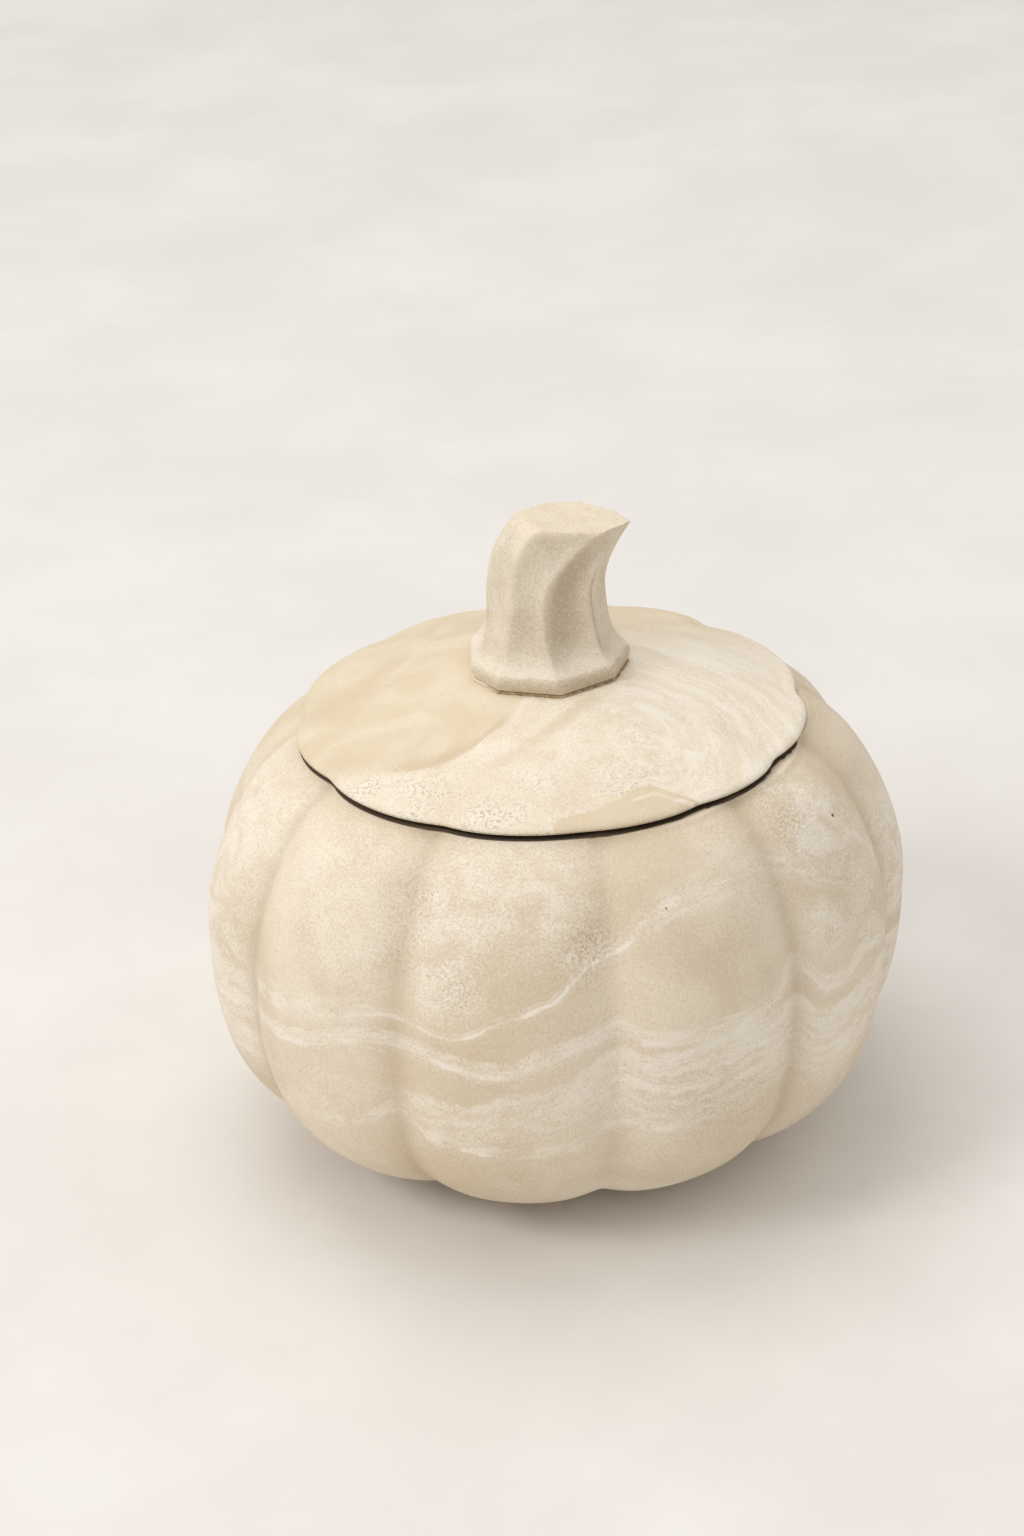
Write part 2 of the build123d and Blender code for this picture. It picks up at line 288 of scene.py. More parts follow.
def build_jar():
    angles = np.linspace(0, 360, COLUMNS, endpoint=False) - 180
    valley = valley_share(angles, GROOVES, 0.07, 2.5)
    rows = []  # radius, rise, groove depth, hand-made unevenness

    base_radius = crest_radius(-WIDEST_RISE)
    for radius in np.linspace(4, base_radius - FOOT_ROUNDING, 14):
        rows.append((radius, -WIDEST_RISE, groove_drop(-WIDEST_RISE) * radius / base_radius, 0))
    for radius, rise in wall_profile(-WIDEST_RISE + 0.15, RIM_RISE - RIM_ROUNDING, 0, 1.05):
        ease = min((rise + WIDEST_RISE) / 6, (RIM_RISE - rise) / 9, 1)
        rows.append((radius, rise, groove_drop(rise), ease))

    # Over the rounded rim, across the flat seat, down the mouth, under the ledge
    shoulder = rows[-1][0]
    cavity_top = RIM_RISE - LEDGE_THICKNESS
    ledge_radius = crest_radius(cavity_top, WALL)
    corners = [
        (shoulder, RIM_RISE - RIM_ROUNDING, 0),
        (shoulder - RIM_ROUNDING * 0.8, RIM_RISE, 0.7),
        (MOUTH_RADIUS, RIM_RISE, 0.9),
        (MOUTH_RADIUS, cavity_top, 0.9),
        (ledge_radius, cavity_top, 1.6),
        (crest_radius(cavity_top - 4, WALL), cavity_top - 4, 0),
    ]
    for radius, rise in rounded_line(corners, 0.8)[1:]:
        if rise > cavity_top + 1:
            share = np.clip((radius - MOUTH_RADIUS - 1) / (shoulder - MOUTH_RADIUS - 1), 0, 1)
            depth = groove_drop(rise) * share
        else:
            share = np.clip((radius - MOUTH_RADIUS) / (ledge_radius - MOUTH_RADIUS), 0, 1)
            depth = groove_drop(rise) * INNER_GROOVE_SHARE * share
        rows.append((radius, rise, depth, 0))

    floor = FLOOR_THICKNESS - WIDEST_RISE
    for radius, rise in reversed(wall_profile(floor + 3, cavity_top - 5, WALL, 2.4)):
        rows.append((radius, rise, groove_drop(rise) * INNER_GROOVE_SHARE, 0))
    last = rows[-1][0]
    for radius, rise in rounded_line([(last, floor + 3, 0), (last - 7, floor, 4), (4, floor, 0)], 3)[1:]:
        rows.append((radius, rise, groove_drop(rise) * INNER_GROOVE_SHARE * (radius / last) ** 2, 0))

    rings, crevice, under_lid = [], [], []
    for radius, rise, depth, uneven in rows:
        x, y = on_plan(radius - depth * valley, angles)
        crevice.append(valley**5 * np.clip(depth / GROOVE_DEPTH, 0, 1))
        centre_share = np.clip((radius - MOUTH_RADIUS + 1) / 6, 0, 1) if rise > cavity_top - 2 else 1
        lean_x = LEAN[0] * rise * centre_share + lid_centre.x / MM * (1 - centre_share)
        lean_y = LEAN[1] * rise * centre_share
        z = np.full(COLUMNS, base_z / MM + WIDEST_RISE + rise)
        ring = np.stack([x + lean_x, y + lean_y, z], axis=1)
        if uneven:
            swell = 0.22 * lumps(ring, 26.0, 1) + 0.05 * lumps(ring, 7.0, 2)
            ring *= 1 + (swell * uneven / CREST_RADIUS)[:, None] * np.array([1, 1, 0])
        rings.append(ring)
        under_lid.append(joint_shadow(ring) * (radius > SEAT_RADIUS))
    marks = {"crevice": crevice, "under_lid": under_lid}
    return skin("jar_body_shell", rings, "jar", "jar_body", "jar_marbled", **marks)


# ---- lid
def dome_height(radius):
    """Height of the lid's top above its lower edge."""
    shoulder = LID_RADIUS - SHOULDER_INSET
    top = lid_top_z / MM - rim_z / MM - LID_LIFT
    run = np.clip((radius - LID_FLAT_RADIUS) / (shoulder - LID_FLAT_RADIUS), 0, None)
    return top - (top - SHOULDER_RISE) * ((1 - DOME_FULLNESS) * run + DOME_FULLNESS * run**2)


def lid_scallop(angles):
    """How far the lid's edge falls short of its full radius at each angle."""
    depth = between_lobes(angles, LID_VALLEYS, LID_VALLEY_DEPTHS)
    reach = between_lobes(angles, LID_VALLEYS, LID_REACH)
    return depth * valley_share(angles, LID_VALLEYS, 0.10, 2.4) - reach


def build_lid():
    angles = np.linspace(0, 360, COLUMNS, endpoint=False) - 180
    depth = between_lobes(angles, LID_VALLEYS, LID_VALLEY_DEPTHS)
    scallop = lid_scallop(angles)
    crease = depth * valley_share(angles, LID_VALLEYS, 0.30, 3.2)
    rim, edge = rim_z / MM, rim_z / MM + LID_LIFT
    flange = lid_flange_z / MM
    hollow_top = lid_top_z / MM - LID_WALL
    hollow_edge = rim + 2.0
    rows = []  # radius, height, scallop share, top-surface share

    # Domed hollow, flange, seat, relieved gap
    for radius in np.linspace(3, FLANGE_INNER - 2, 16):
        rows.append((radius, hollow_top - (hollow_top - hollow_edge) * (radius / FLANGE_INNER) ** 2, 0, 0))
    corners = [
        (FLANGE_INNER - 1.2, hollow_edge + 0.1, 0),
        (FLANGE_INNER, hollow_edge, 0.9),
        (FLANGE_INNER, flange, 0.9),
        (FLANGE_OUTER, flange, 0.9),
        (FLANGE_OUTER, rim, 0.6),
        (SEAT_RADIUS, rim, 0.4),
        (SEAT_RADIUS + 1.6, edge + 0.7, 0.5),
        (LID_RADIUS - 2.4, edge + 0.7, 0.5),
        (LID_RADIUS - 1.6, edge, 0.3),
        (LID_RADIUS - 0.7, edge, 0),
    ]
    for radius, height in rounded_line(corners, 0.9):
        rows.append((radius, height, np.clip((radius - SEAT_RADIUS - 1) / 4, 0, 1), 0))

    # Rounded edge, then the dome
    edge_line = [
        (LID_RADIUS - 0.7, edge, 0),
        (LID_RADIUS, edge, 0.55),
        (LID_RADIUS, edge + 1.0, 0.5),
        (LID_RADIUS - 0.9, edge + 1.75, 0.6),
        (LID_RADIUS - SHOULDER_INSET, edge + SHOULDER_RISE, 0),
    ]
    for radius, height in rounded_line(edge_line, 0.35)[1:]:
        rows.append((radius, height, 1, 0.5 * (height - edge) / SHOULDER_RISE))
    for radius in np.linspace(LID_RADIUS - SHOULDER_INSET - 0.8, 3, 54):
        rows.append((radius, edge + dome_height(radius), (radius / LID_RADIUS) ** 3, 1))

    rings, creases = [], []
    for radius, height, share, top in rows:
        x, y = on_plan(radius - scallop * share, angles)
        z = np.full(COLUMNS, float(height))
        ring = np.stack([x + lid_centre.x / MM, y, z], axis=1)
        creases.append(crease * np.clip((radius - 40) / 20, 0, 1) * top / 2)
        if share:
            outward = np.clip((radius - 42) / 18, 0, 1)
            ring[:, 2] -= 0.45 * crease * outward**2 * top
        if top == 1:
            clear = np.clip((radius - 23) / 6, 0, 1) * np.clip((LID_RADIUS - 2 - radius) / 5, 0.15, 1)
            ring[:, 2] += clear * (0.30 * lumps(ring, 17.0, 5) + 0.05 * lumps(ring, 5.0, 6) + folds(ring))
        rings.append(ring)
    return skin("lid_shell", rings, "lid_assembly", "lid", "lid_marbled", crevice=creases)


def folds(points):
    """Height of the soft folds and dents that the wet clay kept."""
    height = np.zeros(len(points))
    for x, y, length, width, direction, rise in LID_FOLDS:
        turn = radians(direction)
        along = (points[:, 0] - x) * cos(turn) + (points[:, 1] - y) * sin(turn)
        across = -(points[:, 0] - x) * sin(turn) + (points[:, 1] - y) * cos(turn)
        height += rise * np.exp(-((along / length) ** 2) - (across / width) ** 2)
    return height


# ---- stem
def stem_corners(height):
    """Plan places of the nine ridges: round the shaft, then bending over to the top's corners."""
    centre_x, centre_y, half_x, half_y, flute, softness = flow(STEM_LEVELS, height)
    x, y = on_plan(1.0, flow(RIDGE_ANGLES, height))
    corners = np.stack([x * half_x + centre_x, y * half_y + centre_y], axis=1)
    turned = np.clip((height - TURN_STARTS) / (STEM_HEIGHT - TURN_STARTS), 0, 1)
    share = (turned ** np.array(TURN_POWERS))[:, None]
    drift = np.array([centre_x, centre_y]) - flow(STEM_LEVELS, TURN_STARTS)[:2]
    top = np.array(TOP_CORNERS) - np.array([lid_centre.x / MM, 0])
    settled = corners - drift
    return settled + (top - settled) * share, max(flute, 0), softness


def stem_ring(height):
    """One section of the stem: concave facets between softened ridges."""
    corners, flute, softness = stem_corners(height)
    middle = corners.mean(axis=0)
    ring = []
    for start, flute_share in enumerate(FLUTE_SHARES):
        end = (start + 1) % len(corners)
        for v in np.arange(FACET_STEPS) / FACET_STEPS:
            inward = 1 - flute * flute_share * 4 * v * (1 - v)
            ring.append(middle + (corners[start] * (1 - v) + corners[end] * v - middle) * inward)
    reach = np.arange(-12, 13)
    weights = np.exp(-((reach / softness) ** 2))
    weights /= weights.sum()
    ring = sum(w * np.roll(ring, k, axis=0) for k, w in zip(reach, weights))
    slope = TOP_SLOPE * np.clip((height - 20) / (STEM_HEIGHT - 20), 0, 1) ** 2
    return np.column_stack([ring, height - slope * (ring[:, 0] - middle[0])])


def stem_shade(height):
    """How much painted shade each point of a section gets in its flute, 0 to 1, and the seam's share there.
    """
    v = np.arange(FACET_STEPS) / FACET_STEPS
    hollow = np.concatenate([4 * v * (1 - v) * shade for shade in FLUTE_SHADES])
    hollow *= np.clip((height - 4.5) / 7, 0, 1) * np.clip((STEM_HEIGHT - height) / 9, 0, 1)
    place = (SEAM_FLUTE + SEAM_SHARE) * FACET_STEPS
    seam = np.exp(-(((np.arange(len(hollow)) - place) / 1.1) ** 2))
    seam *= np.clip((height - 5) / 3, 0, 1) * np.clip((30 - height) / 6, 0, 1)
    return hollow, seam


def build_stem():
    rings, shades = [], []
    foot = stem_ring(0.0)
    plain = np.zeros(len(foot))
    for share in (0.3, 0.6, 0.85, 0.97):
        rings.append(foot * np.array([share, share, 1]))
        shades.append((plain, plain))
    shaft = np.linspace(6.5, STEM_HEIGHT - TOP_ROUNDING, 62)
    for height in np.concatenate([np.linspace(0.25, 6, 24), shaft]):
        rings.append(stem_ring(height))
        shades.append(stem_shade(height))
    for turn in np.linspace(12, 90, 9):
        cut = stem_ring(STEM_HEIGHT - TOP_ROUNDING * (1 - sin(radians(turn))))
        middle = cut.mean(axis=0)
        reach = np.hypot(*(cut - middle)[:, :2].T)[:, None]
        leftness = np.clip((middle[0] - cut[:, :1]) / 11, 0, 1)
        inset = (TOP_INSET + (LEFT_INSET - TOP_INSET) * leftness) * (1 - cos(radians(turn)))
        rings.append(middle + (cut - middle) * (np.array([1, 1, 1]) - inset / reach * np.array([1, 1, 0])))
    rim = rings[-1]
    middle = rim.mean(axis=0)
    for share in np.linspace(0.95, 0.08, 16):
        ring = middle + (rim - middle) * share
        ring[:, 2] -= 0.35 * (1 - share**2)
        rings.append(ring)
    shades += [(plain, plain)] * (len(rings) - len(shades))

    placed = []
    for ring, (hollow, seam) in zip(rings, shades):
        ring = ring + np.array([lid_centre.x / MM, 0, foot_z / MM])
        height = ring[:, 2].mean() - foot_z / MM
        outward = ring - ring.mean(axis=0)
        outward /= np.maximum(np.hypot(outward[:, 0], outward[:, 1]), 1e-6)[:, None]
        outward[:, 2] = 0
        swell = 0.16 * lumps(ring, 8.0, 8) + 0.04 * lumps(ring, 2.6, 9)
        swell = swell * np.clip(height / 8, 0.2, 1) - SEAM_DEPTH * seam
        ring = ring + outward * swell[:, None]
        if height > STEM_HEIGHT - 2.5:
            ring[:, 2] += 0.14 * lumps(ring, 3.6, 10) + 0.06 * lumps(ring, 1.3, 13)
        placed.append(ring)
    crevice = [0.8 * hollow + 0.9 * seam for hollow, seam in shades]
    return skin("stem_handle_cast", placed, "lid_assembly", "stem_handle", "stem_cast", crevice=crevice)


def build_adhesive():
    """Cured bed under the stem; it swells out past the foot in an uneven bead."""
    foot = stem_ring(0.0)
    thickness = (glue_high.z - glue_low.z) / MM
    sections = [(0.35, 0.0, 0.02), (0.8, 0.0, 0.02), (0.97, 0.0, 0.0)]  # share of the foot, swell, rise
    for turn in np.radians(np.linspace(-80, 80, 7)):
        sections.append((1.0, BEAD_MARGIN * cos(turn), thickness * (0.5 + 0.62 * sin(turn))))
    sections += [(share, 0.0, thickness - 0.02) for share in (0.97, 0.8, 0.35)]
    placed = []
    for share, swell, rise in sections:
        ring = foot * np.array([share, share, 1])
        outward = foot / np.hypot(foot[:, 0], foot[:, 1])[:, None]
        uneven = 1 + 0.9 * lumps(foot, 1.3, 11) + 0.4 * lumps(foot, 0.6, 12)
        ring = ring + outward * (swell * uneven)[:, None] * np.array([1, 1, 0])
        ring[:, 2] = glue_low.z / MM + rise
        ring[:, 0] += lid_centre.x / MM
        placed.append(ring)
    return skin("stem_adhesive_bead", placed, "lid_assembly", "stem_adhesive", "adhesive")


# ---- felt disc
def build_felt():
    radius = (felt_high.x - felt_low.x) / 2 / MM
    low, high = felt_low.z / MM, felt_high.z / MM
    angles = np.linspace(0, 360, 180, endpoint=False)
    corners = [(2, low, 0), (radius, low, 0.45), (radius, high, 0.45), (2, high, 0)]
    rings = []
    for ring_radius, height in rounded_line(corners, 2.0):
        x, y = on_plan(ring_radius, angles)
        ring = np.stack([x, y, np.full(len(angles), height)], axis=1)
        if ring_radius > radius - 1:
            ring[:, :2] *= (1 - 0.004 * np.abs(lumps(ring, 1.5, 14)))[:, None]
        rings.append(ring)
    return skin("felt_base_disc", rings, "jar", "felt_base", "felt")


# ---- material helpers
def linear(red, green, blue):
    """Shader colour from 0-255 display values."""
    channels = [c / 255 for c in (red, green, blue)]
    return [c / 12.92 if c <= 0.04045 else ((c + 0.055) / 1.055) ** 2.4 for c in channels] + [1.0]


class Shade:
    """Writes a material's nodes as short expressions. Values are numbers or sockets."""

    def __init__(self, name):
        self.material = bpy.data.materials.new(name)
        self.material.use_nodes = True
        self.nodes = self.material.node_tree.nodes
        self.links = self.material.node_tree.links
        self.surface = self.nodes["Principled BSDF"]
        self.place = self.node("ShaderNodeTexCoord").outputs["Object"]

    def node(self, kind, **settings):
        node = self.nodes.new(kind)
        for key, value in settings.items():
            setattr(node, key, value)
        return node

    def put(self, socket, value):
        if isinstance(value, bpy.types.NodeSocket):
            self.links.new(value, socket)
        else:
            socket.default_value = value

    def math(self, operation, *values):
        node = self.node("ShaderNodeMath", operation=operation)
        for socket, value in zip(node.inputs, values):
            self.put(socket, value)
        return node.outputs[0]

    def add(self, *values):
        total = values[0]
        for value in values[1:]:
            total = self.math("ADD", total, value)
        return total

    def times(self, *values):
        total = values[0]
        for value in values[1:]:
            total = self.math("MULTIPLY", total, value)
        return total

    def minus(self, a, b):
        return self.math("SUBTRACT", a, b)

    def most(self, *values):
        highest = values[0]
        for value in values[1:]:
            highest = self.math("MAXIMUM", highest, value)
        return highest

    def ramp(self, value, low, high, low_out=0.0, high_out=1.0):
        """Smooth step: low_out below low, high_out above high."""
        node = self.node("ShaderNodeMapRange", interpolation_type="SMOOTHSTEP", clamp=True)
        for socket, item in zip(node.inputs, (value, low, high, low_out, high_out)):
            self.put(socket, item)
        return node.outputs[0]

    def scaled(self, x, y, z):
        """Object coordinates stretched along the axes."""
        node = self.node("ShaderNodeMapping", vector_type="POINT")
        self.put(node.inputs["Vector"], self.place)
        node.inputs["Scale"].default_value = (x, y, z)
        return node.outputs[0]

    def noise(self, size, detail=2.0, roughness=0.5, place=None, distortion=0.0):
        """Noise, 0 to 1, with features about size across, in metres."""
        node = self.node("ShaderNodeTexNoise")
        self.put(node.inputs["Vector"], place or self.place)
        node.inputs["Scale"].default_value = 1 / size
        node.inputs["Detail"].default_value = detail
        node.inputs["Roughness"].default_value = roughness
        node.inputs["Distortion"].default_value = distortion
        return node.outputs[0]

    def centred(self, noise_value, height):
        """The same noise, from about -height to height."""
        return self.times(self.minus(noise_value, 0.5), 2 * height)

    def axes(self, place=None):
        node = self.node("ShaderNodeSeparateXYZ")
        self.put(node.inputs[0], place or self.place)
        return node.outputs

    def combine(self, x, y, z):
        node = self.node("ShaderNodeCombineXYZ")
        for socket, value in zip(node.inputs, (x, y, z)):
            self.put(socket, value)
        return node.outputs[0]

    def curve(self, value, points):
        """A smooth curve through (0-1, 0-1) points."""
        node = self.node("ShaderNodeFloatCurve")
        self.put(node.inputs["Value"], value)
        line = node.mapping.curves[0].points
        for x, y in points[2:]:
            line.new(x, y)
        for point, (x, y) in zip(line, sorted(points)):
            point.location = (x, y)
            point.handle_type = "AUTO_CLAMPED"
        node.mapping.update()
        return node.outputs[0]

    def spot(self, centre, radius, softness):
        """1 inside a soft ball round a point, 0 outside it."""
        node = self.node("ShaderNodeVectorMath", operation="DISTANCE")
        self.put(node.inputs[0], self.place)
        node.inputs[1].default_value = centre
        return self.ramp(node.outputs["Value"], radius * (1 - softness), radius * (1 + softness), 1.0, 0.0)

    def mix(self, share, a, b):
        node = self.node("ShaderNodeMix", data_type="RGBA")
        self.put(node.inputs["Factor"], share)
        self.put(node.inputs[6], a)
        self.put(node.inputs[7], b)
        return node.outputs[2]

    def mix_value(self, share, a, b):
        return self.add(a, self.times(share, self.minus(b, a)))

    def clamp(self, value):
        node = self.node("ShaderNodeClamp")
        self.put(node.inputs["Value"], value)
        return node.outputs[0]

    def bump(self, height, depth):
        node = self.node("ShaderNodeBump")
        node.inputs["Strength"].default_value = 1.0
        node.inputs["Distance"].default_value = depth
        self.put(node.inputs["Height"], height)
        return node.outputs[0]

    def mark(self, name):
        """A mark that the mesh carries at each point."""
        return self.node("ShaderNodeAttribute", attribute_name=name).outputs["Fac"]

    def finish(self, colour, roughness, normal, specular=0.35):
        self.put(self.surface.inputs["Base Color"], colour)
        self.put(self.surface.inputs["Roughness"], roughness)
        self.put(self.surface.inputs["Normal"], normal)
        self.put(self.surface.inputs["Specular IOR Level"], specular)
        return self.material


BEIGE = linear(222, 205, 178)
SHADE_BEIGE = linear(206, 185, 154)
CREAM = linear(234, 220, 197)
LID_BEIGE = linear(220, 202, 172)
LID_CREAM = linear(228, 213, 187)
# beige of the fold, also used as painted shade beside it
FOLD_BEIGE_AND_SHADE = linear(203, 182, 149)
CHALK = linear(246, 238, 224)
SOFT_WHITE = linear(244, 235, 219)
GRIT_BROWN = linear(150, 124, 92)
PORE_BROWN = linear(58, 42, 28)
# darker raw brown, also used as painted shade under the lid
RAW_SEAT_AND_SHADE = linear(122, 99, 72)
# colour of the painted shadow in the gap under the lid
PAINTED_GAP_SHADOW = linear(58, 44, 30)
PIT_DEPTH = 0.10 * MM  # relief of the cast surface
HEIGHT_RANGE = 110.0  # millimetres; curves hold heights as a share of it

# Heights of the poured layers round the jar: (angle, millimetres above the floor)
THIN_VEIN = [
    (-180, 70), (-150, 63), (-122, 67), (-95, 58), (-72, 59), (-50, 63.5), (-42, 65), (-28, 67.5),
    (-18, 66), (-10, 70.5), (-1, 75.5), (5, 82), (11, 84.5), (20, 92), (36, 93.5), (50, 88),
    (66, 80), (88, 84), (115, 76), (148, 82), (180, 70),
]
DOUBLE_VEIN = [
    (-180, 57), (-140, 53), (-100, 60), (-76, 52), (-53, 55.5), (-44, 58.2), (-30, 63.5), (-17, 61.5),
    (-10, 60.2), (-4, 64), (4, 67), (9.5, 68.6), (13, 65.5), (22, 65), (36, 67.6), (42, 71.5),
    (49, 63), (58, 67), (78, 61), (104, 68), (142, 60), (180, 57),
]
WHITE_LAYER_TOP = [
    (-180, 50), (-130, 44), (-95, 49), (-60, 44), (-40, 49), (-24, 49), (-14, 49.3), (-8, 53.5),
    (-1, 54.8), (4, 58.3), (9.5, 62.3), (13.5, 59.5), (22, 60.8), (34, 62.8), (41, 62.5), (49, 55),
    (62, 58), (84, 51), (112, 57), (150, 48), (180, 50),
]
LOW_VEIN = [
    (-180, 35), (-140, 40), (-100, 33), (-75, 37), (-52, 33.8), (-41, 34.8), (-33, 39.5), (-28, 42.6),
    (-22, 37.5), (-12, 35.6), (0, 36.8), (8, 41.5), (14, 40.5), (24, 44.5), (40, 48.5), (52, 43),
    (75, 38), (105, 43), (145, 36), (180, 35),
]

# Lines round the lid: (angle, millimetres from its centre)
LID_PLAIN_EDGE = [
    (-180, 90), (-72, 90), (-62, 58), (-52, 51), (-44, 48), (-34, 44), (-28, 35), (-20, 25),
    (-8, 10), (180, 0),
]
LID_FOLD = [(-180, 62), (-56, 53), (-46, 49), (-36, 44), (-28, 37), (-20, 29), (180, 29)]
LID_SWEEP = [(-180, 44), (-24, 44), (-17, 41), (-10, 36), (6, 28), (30, 22), (180, 22)]
LID_CRESCENT = [
    (-180, 90), (-3, 90), (-0.5, 60), (1.5, 57), (4, 56.4), (11, 55), (17, 53), (23, 51.5),
    (28, 54), (34, 59.5), (38, 90), (180, 90),
]
BRUSH_CENTRE = (21, -34)  # the brushed strokes circle this point, in millimetres
LID_PORES = [((28, -35, 111.5), 0.8), ((-14, 46, 109.5), 0.9)]

# Frosted patches: angle, height, radius in millimetres, strength
FROST = [
    (-17, 95, 16, 0.44), (-20, 79, 8.5, 0.48), (-16, 77, 6, 0.40), (-4, 101, 12, 0.36), (0, 91, 9, 0.44),
    (4, 86, 6, 0.45), (-43, 93, 15, 0.30), (-36, 82, 10, 0.28),
    (-76, 64, 16, 0.62), (-67, 47, 15, 0.62), (-80, 84, 22, 0.55),
    (-66, 94, 12, 0.36), (36, 94, 12, 0.25), (54, 97, 12, 0.62), (63, 86, 11, 0.45), (62, 72, 12, 0.42),
    (49, 76, 6, 0.50), (84, 72, 18, 0.62), (120, 92, 15, 0.45), (-135, 86, 17, 0.45), (175, 98, 14, 0.40),
]
DARK_GRIT = [
    (5, 87, 6, 0.85), (3, 82, 5, 0.5), (-17, 77, 4.5, 0.5),
    (-27, 94, 8, 0.5), (-28, 84, 7, 0.45), (50, 99, 6, 0.5),
]
PORES = [
    (-30, 100), (10, 92.5), (16, 91.8), (18.5, 92), (67, 96), (61, 94.5), (-52, 74), (104, 84),
    (128, 61), (-104, 90), (-150, 72), (166, 80),
]


def on_jar(angle, height):
    """A point on the jar's skin, in metres, from its angle and its height in millimetres."""
    rise = height - base_z / MM - WIDEST_RISE
    x, y = on_plan(crest_radius(rise), angle)
    return ((float(x) + LEAN[0] * rise) * MM, (float(y) + LEAN[1] * rise) * MM, height * MM)


def jar_material():
    s = Shade("jar_marbled_stone")
    x, y, z = s.axes()
    turn = s.math("DIVIDE", s.math("ARCTAN2", x, s.times(y, -1.0)), 2 * pi)
    around = s.add(turn, 0.5)
    millimetres = s.times(z, 1 / MM)
    degrees = s.times(turn, 360.0)

    drift = s.centred(s.noise(15 * MM, 2.0, 0.5), 1.6)
    fray = s.centred(s.noise(3.4 * MM, 4.0, 0.62), 1.5)
    fine_fray = s.centred(s.noise(0.9 * MM, 2.0, 0.5), 0.5)
    grain = s.noise(0.55 * MM, 2.0, 0.55)
    grit = s.centred(grain, 2.2)
    cloud = s.noise(24 * MM, 4.0, 0.55, distortion=0.6)
    fade = s.ramp(s.noise(9 * MM, 2.0), 0.36, 0.60, 0.35, 1.0)
    wobble = s.add(drift, fray, fine_fray)

    def above(layer, share=1.0):
        """Millimetres above a poured layer; its edge drifts and frays."""
        points = [((a + 180) / 360, h / HEIGHT_RANGE) for a, h in layer]
        level = s.times(s.curve(around, points), HEIGHT_RANGE)
        return s.add(s.minus(millimetres, level), s.times(wobble, share))

    def strand(distance, width, soft, strength):
        """White on a line of this half width, fading over soft, with a grainy edge."""
        rough = s.add(s.math("ABSOLUTE", distance), s.times(grit, soft * 0.35))
        return s.times(s.ramp(rough, width, width + soft, strength, 0.0), fade)

    def strata(distance, size):
        """Fine layers that run along a pour, 0 to 1."""
        place = s.combine(s.times(turn, 60.0), s.times(distance, 1 / size), s.times(millimetres, 0.01))
        return s.ramp(s.noise(1.0, 4.0, 0.65, place), 0.38, 0.64)

    thin = above(THIN_VEIN, 0.6)
    spread = s.most(s.ramp(degrees, 8, 20), s.ramp(degrees, -38, -27, 1.0, 0.0))
    crisp = s.most(
        strand(thin, 0.25, 0.55, 0.95), strand(s.add(thin, -1.3, s.times(fray, 0.6)), 0.05, 0.6, 0.45),
        strand(thin, 0.2, 2.2, 0.30),
    )
    blurred = s.times(strand(thin, 0.8, 5.0, 0.55), s.add(strata(thin, 1.4), 0.35))
    thin_white = s.mix_value(spread, crisp, blurred)

    double = above(DOUBLE_VEIN, 0.8)
    below_double = s.times(double, -1.0)
    body = s.times(s.ramp(below_double, -0.3, 0.9), s.ramp(below_double, 1.5, 7.0, 1.0, 0.0))
    double_white = s.most(
        s.times(body, s.add(s.times(strata(double, 1.0), 0.60), 0.18)),
        strand(double, 0.25, 0.7, 0.62),
        strand(s.add(double, 2.9), 0.35, 0.9, 0.85),
        strand(s.add(double, 1.7, fray), 0.1, 0.6, 0.6),
    )

    layer = above(WHITE_LAYER_TOP, 1.0)
    below_layer = s.times(layer, -1.0)
    faded = s.times(below_layer, s.ramp(degrees, 0, 12, 1.0, 0.62))  # reaches lower on the right
    inside = s.times(s.ramp(below_layer, -0.5, 1.0), s.ramp(faded, 4.0, 20.0, 1.0, 0.12))
    layer_white = s.most(
        s.times(inside, s.add(s.times(strata(layer, 1.6), 0.42), 0.22)),
        strand(s.add(layer, 1.0), 0.5, 1.4, 0.62),
        strand(s.add(layer, 4.2, fray), 0.2, 1.2, 0.48),
    )
    on_left_lobe = s.times(s.ramp(degrees, -64, -58), s.ramp(degrees, -30, -22, 1.0, 0.0))
    strength = s.minus(s.ramp(degrees, 2, 12, 1.0, 1.35), s.times(on_left_lobe, 0.65))
    layer_white = s.times(layer_white, strength)

    low = above(LOW_VEIN, 1.1)
    low_white = s.times(strand(low, 0.9, 2.6, 0.74), s.add(strata(low, 1.2), 0.3))
    base_haze = s.times(s.ramp(millimetres, 10, 34, 1.0, 0.0), s.ramp(cloud, 0.35, 0.65), 0.38)

    frost = s.most(*[
        s.times(s.spot(on_jar(angle, height), radius * MM, softness=0.6), strength)
        for angle, height, radius, strength in FROST
    ])
    wisps = s.noise(10 * MM, 5.0, 0.62, s.scaled(1.0, 1.0, 1.5), distortion=0.9)
    frost = s.times(frost, s.ramp(s.add(wisps, s.times(grit, 0.03)), 0.38, 0.62, 0.30, 1.25))

    white = s.most(thin_white, double_white, layer_white, low_white, frost, base_haze)
    white = s.add(white, s.times(s.ramp(cloud, 0.5, 0.75), 0.10))
    open_grain = s.times(white, s.minus(1.15, white))
    white = s.add(white, s.times(grit, s.add(s.times(open_grain, 0.95), 0.05)))

    ground = s.mix(s.ramp(s.noise(35 * MM, 3.0), 0.38, 0.66), BEIGE, CREAM)
    ground = s.mix(s.ramp(s.add(cloud, s.times(grit, 0.03)), 0.36, 0.60, 0.28, 0.0), ground, SHADE_BEIGE)
    ground = s.mix(s.ramp(grit, -1.0, 0.1, 0.34, 0.0), ground, SHADE_BEIGE)
    ground = s.mix(s.ramp(grit, 0.1, 1.0, 0.0, 0.26), ground, CHALK)
    colour = s.mix(s.clamp(white), ground, CHALK)
